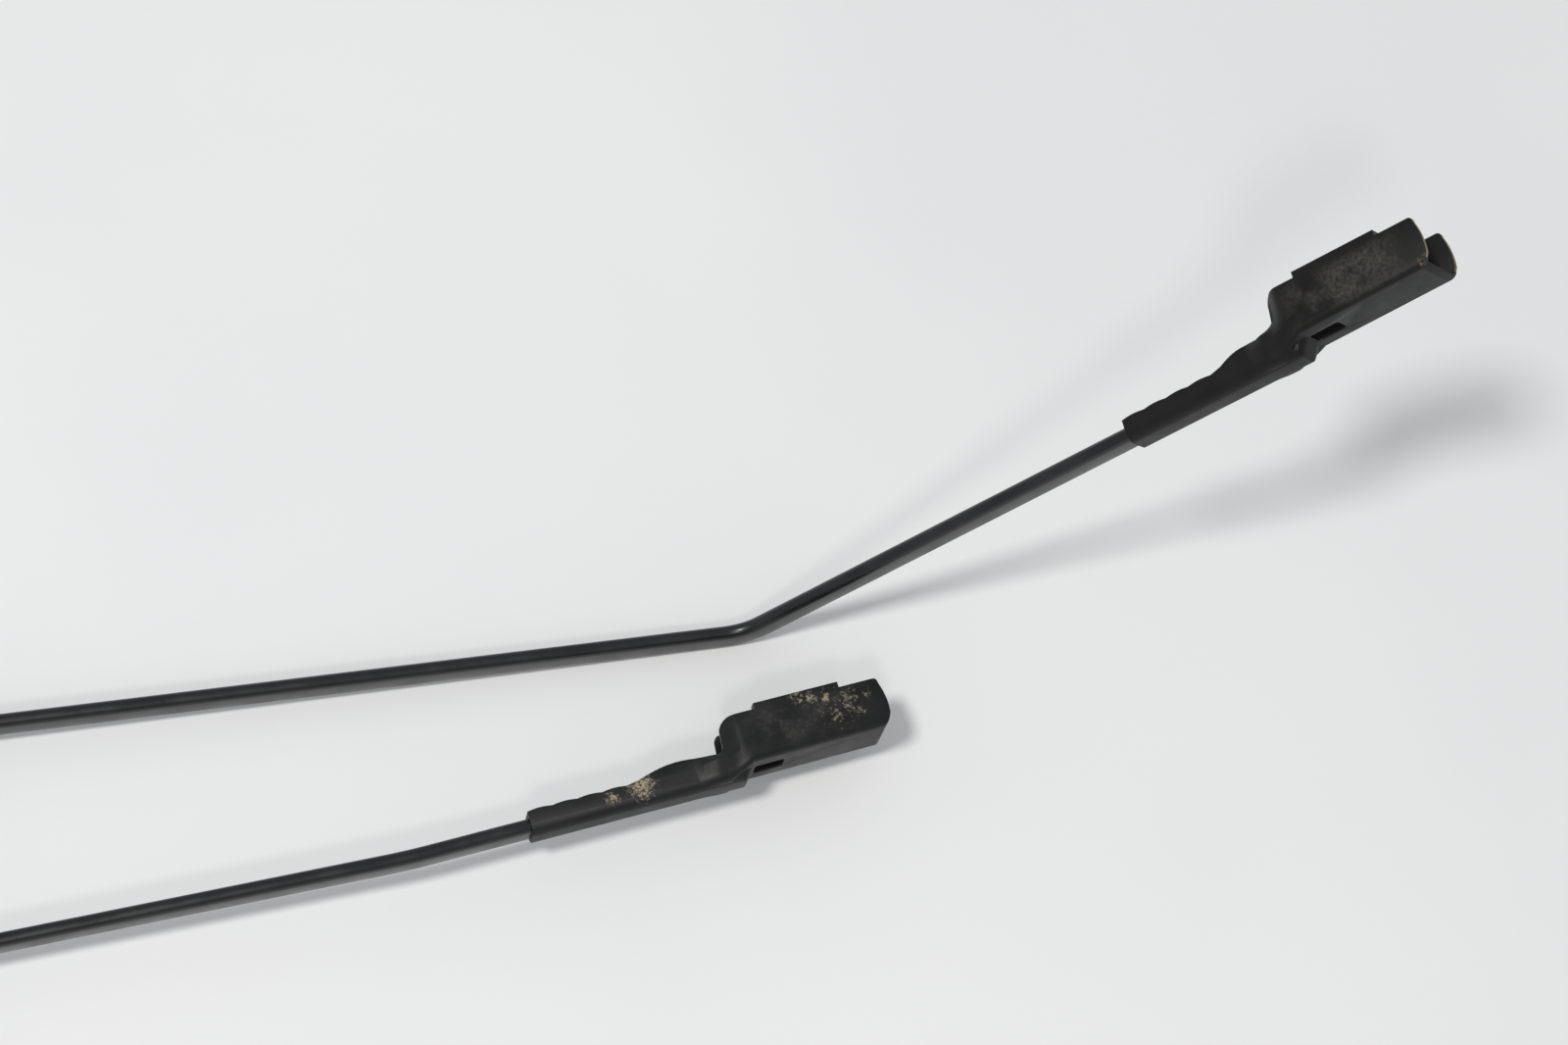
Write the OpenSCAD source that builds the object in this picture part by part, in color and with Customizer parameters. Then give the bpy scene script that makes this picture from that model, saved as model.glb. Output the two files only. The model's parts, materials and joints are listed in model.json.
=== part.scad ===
// A pair of front windscreen wiper arms, without blades, lying on their sides.
// Each arm is built along +X in its own frame: its spindle axis crosses x = 0, +Y faces
// the glass and +Z is across the arm. The pair is then laid out on the ground plane, with
// the origin on the long arm's spindle axis.

/* [Long arm: layout] */
// Spindle to the vertex of the rod's kink
long_inner = 420; // [400:1:520]
// Vertex of the kink to the tip of the blade holder
long_outer = 236.5; // [210:0.5:300]
// Rise of the outer length across the arm, in degrees
long_rise = 45.6; // [25:0.1:50]
// Turn of the outer length towards the glass, in degrees
long_turn = 5.1; // [0:0.1:12]
// Centre line radius of the kink
long_bend_r = 16; // [12:1:60]
// Heading of the inner length on the ground plane, in degrees
long_heading = 11.1; // [8:0.1:12]
// Length of the holder's neck
long_neck = 22; // [18:1:34]
// Step from the rod's axis to the holder's web, towards the glass
long_step = 1.6; // [0:0.1:2.5]

/* [Short arm: layout] */
// Spindle to the vertex of the rod's bend
short_inner = 370; // [350:1:400]
// Vertex of the bend to the tip of the blade holder
short_outer = 142.5; // [140:0.5:200]
// Rise of the outer length across the arm, in degrees
short_rise = -0.8; // [-6:0.1:6]
// Turn of the outer length towards the glass, in degrees
short_turn = 3.6; // [0:0.1:8]
// Centre line radius of the bend
short_bend_r = 200; // [120:10:300]
// Heading of the inner length on the ground plane, in degrees
short_heading = 14.4; // [12:0.1:16]
// Upward slope of the arm from its boss, in degrees
short_tilt = 1; // [0:0.1:1.5]
// Length of the holder's neck
short_neck = 30; // [18:1:34]
// Step from the rod's axis to the holder's web, towards the glass
short_step = 0.3; // [0:0.1:2.5]

/* [Pair] */
// How far the short arm's bend lies back from the long arm's kink
apart_along = 96.2; // [90:0.1:110]
// How far the short arm's bend lies to the side of the long arm's kink
apart_across = 78.6; // [76:0.1:90]

/* [Rod] */
// Width of the flat bar, across the arm
rod_w = 9; // [7:0.5:9.5]
// Thickness of the flat bar
rod_t = 4.2; // [3:0.1:4.6]

/* [Blade holder] */
// Width over the side walls
holder_w = 19; // [17:0.5:22]
// Height from the web's outer face to the free edges
holder_h = 14.3; // [12:0.1:17]
// Length of the wide channel
holder_l = 48.5; // [46:0.5:56]
// Sheet thickness
sheet = 1.3; // [1:0.1:1.6]
// Tip to the start of the folded lips
lip_start = 12.3; // [10:0.1:14]
// Length of the folded lips
lip_l = 25.3; // [20:0.1:28]
// Height of the lips above the free edges
lip_rise = 1.7; // [1:0.1:2.5]
// How far each lip reaches in from its wall
lip_in = 2.4; // [1.5:0.1:4]
// Tip to the near edge of the button window
window_start = 32.2; // [28:0.1:34]
// Length of the button window
window_l = 8.9; // [7:0.1:10]
// Width of the button window
window_w = 6; // [5:0.1:9]
// Length of the sleeve that is crimped on the rod
sleeve_l = 29; // [22:1:32]
// Wall of the sleeve round the rod
sleeve_wall = 1.2; // [1:0.1:1.6]

/* [Retainer] */
// Spindle to the hinge axis
hinge_x = 42; // [40:0.5:50]
// Spindle to the mouth of the retainer, where the rod leaves it
retainer_l = 192; // [180:1:230]
// Width over the cheeks at the hinge
cheek_w = 24; // [23:0.5:24]
// Radius of the cheeks round the hinge
cheek_r = 11.5; // [10.5:0.5:13]
// Thickness of the retainer's walls
retainer_wall = 1.8; // [1.4:0.1:2.4]

/* [Head] */
// Radius of the boss round the spindle
boss_r = 13; // [12:0.5:14]
// Radius of the bore over the spindle's thread
stud_bore_r = 4.1; // [3.6:0.1:4.6]
// Length of the bore over the spindle's thread
stud_bore_l = 8; // [6:0.5:10]
// Radius of the spindle taper at its wide mouth
taper_r = 6; // [5.5:0.1:6.5]

/* [Hinge and spring] */
// Radius of the hinge's stub pins
hinge_pin_r = 3; // [2.5:0.1:3.5]
// Radius of the head's cross pin
link_pin_r = 2; // [1.5:0.1:2.5]
// Distance of the cross pin from the hinge axis
link_arm = 8.5; // [8:0.1:9]
// Spindle to the spring's anchor pin
anchor_x = 118; // [110:1:125]
// Outer radius of the spring
spring_r = 5.5; // [4.5:0.1:6]
// Wire radius of the spring
wire_r = 0.95; // [0.7:0.05:1.1]
// Turns of the spring
spring_turns = 15; // [12:1:18]

/* [Nut cap] */
// Outer radius of the cap's skirt
cap_r = 11.4; // [11:0.1:11.8]
// Height of the cap above the boss
cap_h = 5; // [4:0.5:8]

/* [Clearances] */
// Running fit of a pin in its bore, on the radius
run_fit = 0.05; // [0.02:0.01:0.1]
// Room beside a part that slides or turns, on each side
side_fit = 0.15; // [0.1:0.05:0.3]
// Room between parts that are pressed or crimped together
press_gap = 0.02; // [0.01:0.01:0.05]

/* [Hidden] */
$fn = 48;
eps = 0.01;

// Rod and sleeves
rod_start = 156;
rod_back = 3;
tip_r = 20;
crimp_dent = 0.35;
sleeve_w = rod_w + 2 * sleeve_wall;
sleeve_h = rod_t + 2 * sleeve_wall;

// Retainer profile
web_y = -cheek_r;
throat_x = 165;
cheek_x = hinge_x + 20;
throat_w = rod_w + 2 * retainer_wall;
throat_h = rod_t + 2 * retainer_wall;
web_start = hinge_x + 2;
slope_x = throat_x - 15;
anchor_y = 1.5;
rivet_r = 1.7;
rivet_head_r = 2.9;
rivet_head_h = 1;
rivet_xs = [retainer_l - 20, retainer_l - 8];

// Hinge
washer_t = 0.5;
cheek_in = cheek_w / 2 - retainer_wall;
tongue_half = cheek_in - washer_t - 2 * side_fit;
slot_half = 3.2;
slot_back = 8.4;
tongue_r = cheek_r - retainer_wall - 0.5;
relief_r = cheek_r + 0.6;
bush_wall = 1.2;
bush_r = hinge_pin_r + run_fit + bush_wall;
pin_head_r = 4.6;
pin_head_h = boss_r - cheek_w / 2 - press_gap;

// Spring link, between the head's cross pin and the spring
link_angle = 105;
link_x = hinge_x + link_arm * cos(link_angle);
link_y = link_arm * sin(link_angle);
link_l = 19;
link_half = 1.5;
link_eye = 1.8;
link_end_r = 3.6;
link_hole_r = 1.9;
coil_steps = 10;
pull_angle = atan2(anchor_y - link_y, anchor_x - link_x);
anchor_pin_r = 2.2;

// Head and cap
head_glass_y = 14;
nut_face_y = -9;
nut_seat_r = 9;
nut_seat_h = 3;
taper_l = head_glass_y - nut_face_y - nut_seat_h - stud_bore_l;
cap_wall = 1.4;

// Ground plane: the long arm rests on its lower hinge pin and on the start of its kink,
// the short arm rests on its boss
long_kink_reach = long_bend_r * tan(bend_angle(long_turn, long_rise) / 2);
short_bend_reach = short_bend_r * tan(bend_angle(short_turn, short_rise) / 2);
long_foot_x = hinge_x + pin_head_r;
long_sink = atan((boss_r - rod_w / 2) / (long_inner - long_kink_reach - long_foot_x));
long_height = boss_r * cos(long_sink) + long_foot_x * sin(long_sink);
short_height = boss_r;
long_run = long_inner * cos(long_sink);
short_run = short_inner * cos(short_tilt);
ground = -long_height;
short_spindle = [
  long_run * cos(long_heading) - apart_along - short_run * cos(short_heading),
  long_run * sin(long_heading) - apart_across - short_run * sin(short_heading),
  ground + short_height
];

// ---- Shared helpers ----

function arc(cx, cy, r, a0, a1, n = 6) =
  [for (i = [0:n]) let (a = a0 + (a1 - a0) * i / n) [cx + r * cos(a), cy + r * sin(a)]];

// Direction of a bend: its angle, and its plane's turn about the rod
function bend_angle(turn, rise) = acos(cos(turn) * cos(rise));
function bend_plane(turn, rise) = atan2(sin(rise), sin(turn) * cos(rise));

// A prism whose outline is drawn along the arm and towards the glass
module side_prism(outline, half) {
  translate([0, 0, -half])
    linear_extrude(2 * half)
      polygon(outline);
}

// A prism whose outline is drawn along the arm and across it
module plan_prism(outline, low, high) {
  translate([0, high, 0])
    rotate([90, 0, 0])
      linear_extrude(high - low)
        polygon(outline);
}

// Outline symmetrical about the arm, from its [x, half width] points
function mirrored(points) = concat(
  points,
  [for (i = [len(points) - 1:-1:0]) [points[i][0], -points[i][1]]]
);

// The flat bar's section with fully rounded edges, long axis along the second direction
function bar_outline(grow) = let (
  r = rod_t / 2 + grow,
  c = (rod_w - rod_t) / 2
) concat(arc(0, c, r, 0, 180, 10), arc(0, -c, r, 180, 360, 10));

module bar_section(grow = 0) {
  polygon(bar_outline(grow));
}

module bar_straight(length, grow = 0) {
  rotate([90, 0, 90])
    linear_extrude(length)
      bar_section(grow);
}

// Moves the children from the inner axis to the outer axis, past the bend's vertex
module past_bend(inner, turn, rise) {
  plane = bend_plane(turn, rise);
  translate([inner, 0, 0])
    rotate([plane, 0, 0])
      rotate([0, 0, bend_angle(turn, rise)])
        rotate([-plane, 0, 0])
          children();
}

// ---- Arm pieces, each drawn in the arm's own frame ----

module rod(inner, turn, rise, radius) {
  angle = bend_angle(turn, rise);
  plane = bend_plane(turn, rise);
  reach = radius * tan(angle / 2);
  translate([rod_start, 0, 0])
    bar_straight(inner - reach - rod_start);
  translate([inner - reach, 0, 0])
    rotate([plane, 0, 0])
      translate([0, radius, 0])
        rotate([0, 0, -90])
          rotate_extrude(angle = angle, $fn = 180)
            translate([radius, 0])
              rotate(plane)
                bar_section();
  past_bend(inner, turn, rise)
    translate([reach, 0, 0])
      children();
}

// Side outline of the blade holder, tip at x = 0, rod axis at y = 0
function holder_side(neck, step, sleeve_end) = let (
  top = step + holder_h,
  lip_end = lip_start + lip_l,
  sleeve_start = sleeve_end + sleeve_l,
  low = -sleeve_h / 2
) concat(
  arc(-3.9, step + 3.2, 3.2, -90, -20),
  arc(-tip_r, step + 6.5, tip_r, -9, 17),
  arc(-2.2, top - 1.2, 1.2, 20, 90),
  [[-lip_start, top], [-lip_start, top + lip_rise], [-lip_end, top + lip_rise], [-lip_end, top]],
  arc(-holder_l + 3.3, top - 3.3, 3.3, 95, 180),
  [[-holder_l - 0.2, step + 7.5]],
  arc(-holder_l - 3.6, step + 7.8, 3.2, 0, -80),
  [for (i = [1:10]) let (t = i / 11)
    [-holder_l - 4 - t * (neck - 6), 3.4 + 1.6 * (1 - t) + 2.1 * sin(180 * t)]],
  [for (i = [0:24]) let (t = i / 24)
    [-sleeve_end - t * sleeve_l, sleeve_h / 2 + crimp_dent * abs(sin(180 * 4 * t)) * (t < 1 ? 1 : 0)]],
  [[-sleeve_start, low], [-sleeve_end + 15, low], [-holder_l + 4, step]]
);

// Plan outline of the blade holder, taken in by the given thickness
function holder_plan(neck, sleeve_end, inset) = let (
  narrow = sleeve_w / 2 - inset,
  wide = holder_w / 2 - inset,
  back = sleeve_end + sleeve_l
) mirrored(concat(
  [[-back, narrow], [-holder_l - 2, narrow]],
  [for (i = [1:6]) let (t = i / 6)
    [-holder_l - 2 + t * 6, narrow + (wide - narrow) * (1 - cos(180 * t)) / 2]],
  [[20, wide]]
));

module blade_holder(neck, step) {
  sleeve_end = holder_l + neck;
  top = step + holder_h;
  low = -sleeve_h / 2;
  inner_low = low + sheet;
  ceiling = top + lip_rise - sheet;
  lip_end = lip_start + lip_l;
  difference() {
    intersection() {
      side_prism(holder_side(neck, step, sleeve_end), holder_w);
      plan_prism(holder_plan(neck, sleeve_end, 0), -30, 60);
    }
    // The channel's room, open at the tip
    intersection() {
      side_prism([
        [-sleeve_end - eps, inner_low], [-sleeve_end + 15, inner_low],
        [-holder_l + 4, step + sheet], [30, step + sheet], [30, top + 9],
        [-lip_start, top + 9], [-lip_start, ceiling], [-lip_end, ceiling],
        [-lip_end, top + 9], [-sleeve_end - eps, top + 9]
      ], holder_w);
      plan_prism(holder_plan(neck, sleeve_end, sheet), -30, 60);
    }
    // The opening between the lips
    translate([-lip_end - 1, step + sheet, -holder_w / 2 + sheet + lip_in])
      cube([lip_l + 2, holder_h + 9, holder_w - 2 * (sheet + lip_in)]);
    // The window for the blade's button
    translate([-window_start - window_l, step - 5, -window_w / 2])
      cube([window_l, 5 + sheet + 1, window_w]);
    // The rod's seat in the sleeve
    translate([-sleeve_end - sleeve_l - 1, 0, 0])
      bar_straight(sleeve_l + 2, press_gap);
  }
}

// Side outline of the retainer: the web along the bottom, the free edges along the top
function retainer_side() = concat(
  arc(hinge_x, 0, cheek_r, 100, 270, 20),
  [
    [cheek_x, web_y], [slope_x, -throat_h / 2 - 1.2], [throat_x, -throat_h / 2],
    [retainer_l, -throat_h / 2], [retainer_l, throat_h / 2], [throat_x, throat_h / 2],
    [slope_x, throat_h / 2 + 2.2], [hinge_x + 32, cheek_r - 1]
  ]
);

function retainer_plan(inset) = mirrored([
  [hinge_x - 30, cheek_w / 2 - inset], [cheek_x, cheek_w / 2 - inset],
  [slope_x, throat_w / 2 + 1.6 - inset], [throat_x, throat_w / 2 - inset],
  [retainer_l + 10, throat_w / 2 - inset]
]);

module retainer() {
  wall = retainer_wall;
  difference() {
    intersection() {
      side_prism(retainer_side(), cheek_w);
      plan_prism(retainer_plan(0), -30, 30);
    }
    // Room for the spring, open towards the glass
    intersection() {
      side_prism([
        [web_start, web_y + wall], [cheek_x, web_y + wall],
        [slope_x, -throat_h / 2 - 1.2 + wall], [throat_x, -rod_t / 2],
        [throat_x, 30], [web_start, 30]
      ], cheek_w);
      plan_prism(retainer_plan(wall), -29, 31);
    }
    // Room for the head's tongue, open on both faces
    translate([hinge_x - 30, -30, -cheek_in])
      cube([30 + web_start - hinge_x + eps, 60, 2 * cheek_in]);
    translate([throat_x - 10, 0, 0])
      bar_straight(retainer_l, press_gap);
    translate([hinge_x, 0, -cheek_w])
      cylinder(r = hinge_pin_r + press_gap, h = 2 * cheek_w);
    translate([anchor_x, anchor_y, -cheek_w])
      cylinder(r = anchor_pin_r + press_gap, h = 2 * cheek_w);
    for (x = rivet_xs)
      translate([x, 20, 0])
        rotate([90, 0, 0])
          cylinder(r = rivet_r + press_gap, h = 40);
  }
}

// Two rivets through the retainer's throat and the rod
module rod_rivets() {
  half = throat_h / 2 + press_gap;
  for (x = rivet_xs)
    translate([x, 0, 0])
      rotate([90, 0, 0]) {
        cylinder(r = rivet_r, h = 2 * half + 2 * eps, center = true);
        for (s = [-1, 1])
          rotate([s < 0 ? 180 : 0, 0, 0])
            translate([0, 0, half]) {
              cylinder(r = rivet_head_r, h = 0.4);
              translate([0, 0, 0.4])
                cylinder(r1 = rivet_head_r, r2 = 1.9, h = rivet_head_h - 0.4);
            }
      }
}

// A pin across the arm, with a flange on each end
module cross_pin(r, half, flange_r, flange_h) {
  cylinder(r = r, h = 2 * half + 2 * eps, center = true);
  for (s = [-1, 1])
    rotate([s < 0 ? 180 : 0, 0, 0])
      translate([0, 0, half])
        cylinder(r1 = flange_r, r2 = flange_r - flange_h / 2, h = flange_h);
}

module anchor_pin() {
  run = (anchor_x - cheek_x) / (slope_x - cheek_x);
  half = cheek_w / 2 + run * (throat_w / 2 + 1.6 - cheek_w / 2) + 0.3;
  translate([anchor_x, anchor_y, 0])
    cross_pin(anchor_pin_r, half, 3.4, 0.9);
}

// Two stub pins, one through each cheek and prong, which leave the middle free
module hinge_pins() {
  length = cheek_w / 2 - slot_half - 0.6;
  for (s = [-1, 1])
    translate([hinge_x, 0, 0])
      rotate([s < 0 ? 180 : 0, 0, 0])
        translate([0, 0, cheek_w / 2]) {
          translate([0, 0, -length])
            cylinder(r = hinge_pin_r, h = length + press_gap + eps);
          translate([0, 0, press_gap])
            cylinder(r1 = pin_head_r, r2 = pin_head_r - 0.7, h = pin_head_h);
        }
}

module hinge_washers() {
  for (s = [-1, 1])
    translate([hinge_x, 0, s * (tongue_half + side_fit + washer_t / 2)])
      difference() {
        cylinder(r = tongue_r - 0.8, h = washer_t, center = true);
        cylinder(r = hinge_pin_r + run_fit, h = 2, center = true);
      }
}

module hinge_bushes() {
  length = tongue_half - slot_half;
  for (s = [-1, 1])
    translate([hinge_x, 0, s * (slot_half + length / 2)])
      difference() {
        cylinder(r = bush_r, h = length, center = true);
        cylinder(r = hinge_pin_r + run_fit, h = 2 * length, center = true);
      }
}

module link_pin() {
  translate([link_x, link_y, 0])
    cylinder(r = link_pin_r, h = 2 * tongue_half - 0.6, center = true);
}

// Side outline of the head behind the relief: back, roof, shoulder and underside
function head_side() = [
  [-4, nut_face_y], [boss_r + 2, nut_face_y], [hinge_x - 6, nut_face_y - 1.5],
  [hinge_x - 3, -8], [hinge_x, 1],
  [hinge_x - 5, 12.2], [hinge_x - 12, head_glass_y - 1], [-4, head_glass_y - 1]
];

module head() {
  difference() {
    union() {
      // The boss round the spindle
      translate([0, head_glass_y, 0])
        rotate([90, 0, 0])
          cylinder(r = boss_r, h = head_glass_y - nut_face_y, $fn = 64);
      // The body, cut back round the hinge so that the retainer's web can swing
      difference() {
        intersection() {
          side_prism(head_side(), boss_r);
          plan_prism(mirrored([
            [-6, boss_r - 2], [0, boss_r - 0.6], [hinge_x - relief_r - 1, boss_r - 0.6],
            [hinge_x - relief_r, tongue_half], [hinge_x + 20, tongue_half]
          ]), -30, 30);
        }
        translate([hinge_x - relief_r, -60, -30])
          cube([60, 61, 60]);
      }
      // The round tongue on the hinge axis
      translate([hinge_x, 0, 0])
        cylinder(r = tongue_r, h = 2 * tongue_half, center = true, $fn = 64);
      translate([hinge_x - 9, 1, -tongue_half])
        cube([9, tongue_r - 1, 2 * tongue_half]);
    }
    // The slot for the spring link
    translate([hinge_x - slot_back, -40, -slot_half])
      cube([60, 80, 2 * slot_half]);
    // Room for the retainer's cheeks as they turn
    for (s = [-1, 1])
      translate([hinge_x, 0, s * (tongue_half + 15)])
        cylinder(r = cheek_r + 0.8, h = 30, center = true, $fn = 96);
    translate([hinge_x, 0, 0])
      cylinder(r = bush_r + press_gap, h = 60, center = true);
    translate([link_x, link_y, 0])
      cylinder(r = link_pin_r + press_gap, h = 60, center = true);
    // The spindle's bore, its taper and the nut's seat
    rotate([90, 0, 0])
      cylinder(r = stud_bore_r, h = 60, center = true);
    translate([0, head_glass_y + eps, 0])
      rotate([90, 0, 0])
        cylinder(r1 = taper_r, r2 = stud_bore_r, h = taper_l);
    translate([0, nut_face_y + nut_seat_h, 0])
      rotate([90, 0, 0])
        cylinder(r = nut_seat_r, h = 10);
  }
}

// A flat link with an eye on the cross pin and a hole for the spring's hook
module spring_link() {
  translate([link_x, link_y, 0])
    rotate([0, 0, pull_angle])
      difference() {
        union() {
          cylinder(r = link_pin_r + link_eye, h = 2 * link_half, center = true);
          translate([0, -2.2, -link_half])
            cube([link_l, 4.4, 2 * link_half]);
          translate([link_l, 0, 0])
            cylinder(r = link_end_r, h = 2 * link_half, center = true);
        }
        cylinder(r = link_pin_r + run_fit, h = 20, center = true);
        translate([link_l, 0, 0])
          cylinder(r = link_hole_r, h = 20, center = true);
      }
}

// The coil's centre line along the pull, from above the link round to the glass side
function coil_point(t, first, last) = let (
  coil_r = spring_r - wire_r,
  angle = 90 + (360 * spring_turns - 90) * t
) [first + (last - first) * t, coil_r * cos(angle), coil_r * sin(angle)];

// A closed tube swept along points, with a ring of six sides at each point
module tube(points, r) {
  sides = 6;
  count = len(points);
  directions = [for (i = [0:count - 1])
    let (d = points[min(i + 1, count - 1)] - points[max(i - 1, 0)]) d / norm(d)];
  rings = [for (i = [0:count - 1])
    let (
      d = directions[i],
      ref = [0, 0.02, 1],
      u = cross(d, ref) / norm(cross(d, ref)),
      v = cross(d, u)
    )
    for (k = [0:sides - 1]) points[i] + r * (u * cos(60 * k) + v * sin(60 * k))];
  walls = [for (i = [0:count - 2]) for (k = [0:sides - 1]) let (
      a = i * sides + k, b = i * sides + (k + 1) % sides
    ) [a, a + sides, b + sides, b]];
  polyhedron(
    rings,
    concat(walls, [[for (k = [0:sides - 1]) k]], [[for (k = [sides - 1:-1:0]) (count - 1) * sides + k]]),
    convexity = 10
  );
}

module spring() {
  span = norm([anchor_x - link_x, anchor_y - link_y]);
  coil_r = spring_r - wire_r;
  // The near hook goes through the link's hole and over the link's round end
  over = link_half + wire_r + 0.4;
  hole_x = link_l + 0.6;
  first = link_l + link_end_r + 2.2;
  near_hook = [
    [hole_x + 2.6, 0, -over - 0.5], [hole_x + 1.1, 0, -over - 0.1], [hole_x + 0.3, 0, -over + 0.7],
    [hole_x, 0, -over + 1.7], [hole_x, 0, 0], [hole_x, 0, over - 1.7], [hole_x + 0.3, 0, over - 0.7],
    [hole_x + 1.1, 0, over + 0.1], [hole_x + 2.6, 0, over + 0.8], [first - 1.1, 0.2, coil_r - 0.3]
  ];
  // The far hook goes round the anchor pin
  hook_r = anchor_pin_r + wire_r + 0.25;
  last = span - 7.5;
  far_hook = concat(
    [[last + 0.8, coil_r, 1], [last + 2.4, coil_r - 0.1, 1.3], [last + 4.2, coil_r - 0.4, 0.7]],
    [for (i = [0:7]) [span + hook_r * cos(100 - 25 * i), hook_r * sin(100 - 25 * i), 0]]
  );
  count = spring_turns * coil_steps;
  translate([link_x, link_y, 0])
    rotate([0, 0, pull_angle])
      tube(concat(
        near_hook,
        [for (i = [0:count]) coil_point(i / count, first, last)],
        far_hook
      ), wire_r);
}

// A push-on cap over the spindle's nut
module nut_cap() {
  foot = -nut_face_y + side_fit;
  plug_r = nut_seat_r - side_fit;
  edge = 1.5;
  rotate([90, 0, 0])
    difference() {
      union() {
        translate([0, 0, foot])
          cylinder(r = cap_r, h = cap_h - edge, $fn = 64);
        translate([0, 0, foot + cap_h - edge])
          cylinder(r1 = cap_r, r2 = cap_r - edge, h = edge, $fn = 64);
        translate([0, 0, -nut_face_y - nut_seat_h + 0.2])
          cylinder(r = plug_r, h = nut_seat_h + 0.5);
      }
      translate([0, 0, -nut_face_y - 10])
        cylinder(r = plug_r - cap_wall, h = 10 + cap_h - cap_wall);
    }
}

// ---- Placing each arm ----

module place_long() {
  rotate([0, 0, long_heading])
    rotate([0, long_sink, 0])
      children();
}

module place_short() {
  translate(short_spindle)
    rotate([0, 0, short_heading])
      rotate([0, -short_tilt, 0])
        children();
}

module long_rod() {
  color([0.05, 0.05, 0.055])
    place_long() {
      difference() {
        rod(long_inner, long_turn, long_rise, long_bend_r)
          bar_straight(long_outer - holder_l - long_neck - rod_back - long_kink_reach);
        rivet_holes();
      }
    }
}

module short_rod() {
  color([0.05, 0.05, 0.055])
    place_short() {
      difference() {
        rod(short_inner, short_turn, short_rise, short_bend_r)
          bar_straight(short_outer - holder_l - short_neck - rod_back - short_bend_reach);
        rivet_holes();
      }
    }
}

module rivet_holes() {
  for (x = rivet_xs)
    translate([x, 20, 0])
      rotate([90, 0, 0])
        cylinder(r = rivet_r + press_gap, h = 40);
}

module long_blade_holder() {
  color([0.09, 0.085, 0.08])
    place_long()
      past_bend(long_inner, long_turn, long_rise)
        translate([long_outer, 0, 0])
          blade_holder(long_neck, long_step);
}

module short_blade_holder() {
  color([0.08, 0.08, 0.085])
    place_short()
      past_bend(short_inner, short_turn, short_rise)
        translate([short_outer, 0, 0])
          blade_holder(short_neck, short_step);
}

module long_retainer() { color([0.06, 0.06, 0.06]) place_long() retainer(); }
module long_rod_rivets() { color([0.2, 0.2, 0.2]) place_long() rod_rivets(); }
module long_anchor_pin() { color([0.5, 0.5, 0.5]) place_long() anchor_pin(); }
module long_hinge_pins() { color([0.45, 0.45, 0.45]) place_long() hinge_pins(); }
module long_hinge_washers() { color([0.85, 0.83, 0.76]) place_long() hinge_washers(); }
module long_spring() { color([0.55, 0.55, 0.55]) place_long() spring(); }
module long_spring_link() { color([0.6, 0.58, 0.5]) place_long() spring_link(); }
module long_head() { color([0.07, 0.07, 0.07]) place_long() head(); }
module long_hinge_bushes() { color([0.7, 0.55, 0.3]) place_long() hinge_bushes(); }
module long_link_pin() { color([0.5, 0.5, 0.5]) place_long() link_pin(); }
module long_nut_cap() { color([0.04, 0.04, 0.04]) place_long() nut_cap(); }

module short_retainer() { color([0.06, 0.06, 0.06]) place_short() retainer(); }
module short_rod_rivets() { color([0.2, 0.2, 0.2]) place_short() rod_rivets(); }
module short_anchor_pin() { color([0.5, 0.5, 0.5]) place_short() anchor_pin(); }
module short_hinge_pins() { color([0.45, 0.45, 0.45]) place_short() hinge_pins(); }
module short_hinge_washers() { color([0.85, 0.83, 0.76]) place_short() hinge_washers(); }
module short_spring() { color([0.55, 0.55, 0.55]) place_short() spring(); }
module short_spring_link() { color([0.6, 0.58, 0.5]) place_short() spring_link(); }
module short_head() { color([0.07, 0.07, 0.07]) place_short() head(); }
module short_hinge_bushes() { color([0.7, 0.55, 0.3]) place_short() hinge_bushes(); }
module short_link_pin() { color([0.5, 0.5, 0.5]) place_short() link_pin(); }
module short_nut_cap() { color([0.04, 0.04, 0.04]) place_short() nut_cap(); }

long_blade_holder();
long_rod();
long_retainer();
long_rod_rivets();
long_anchor_pin();
long_hinge_pins();
long_hinge_washers();
long_spring();
long_spring_link();
long_head();
long_hinge_bushes();
long_link_pin();
long_nut_cap();
short_blade_holder();
short_rod();
short_retainer();
short_rod_rivets();
short_anchor_pin();
short_hinge_pins();
short_hinge_washers();
short_spring();
short_spring_link();
short_head();
short_hinge_bushes();
short_link_pin();
short_nut_cap();
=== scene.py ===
# %% [markdown]
# # A pair of windscreen wiper arms
# The pair lies on its side on a pale table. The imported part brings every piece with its
# real size and its joints. This lesson builds the finer pieces around it: the folded blade
# holders, the bars, the retainers, the cast heads, the springs and the caps. Everything is
# drawn in millimetres in the arm's own frame and then laid on the part's own joints.

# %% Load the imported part
import json
import math

import bmesh
import bpy
from mathutils import Matrix, Vector


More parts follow.
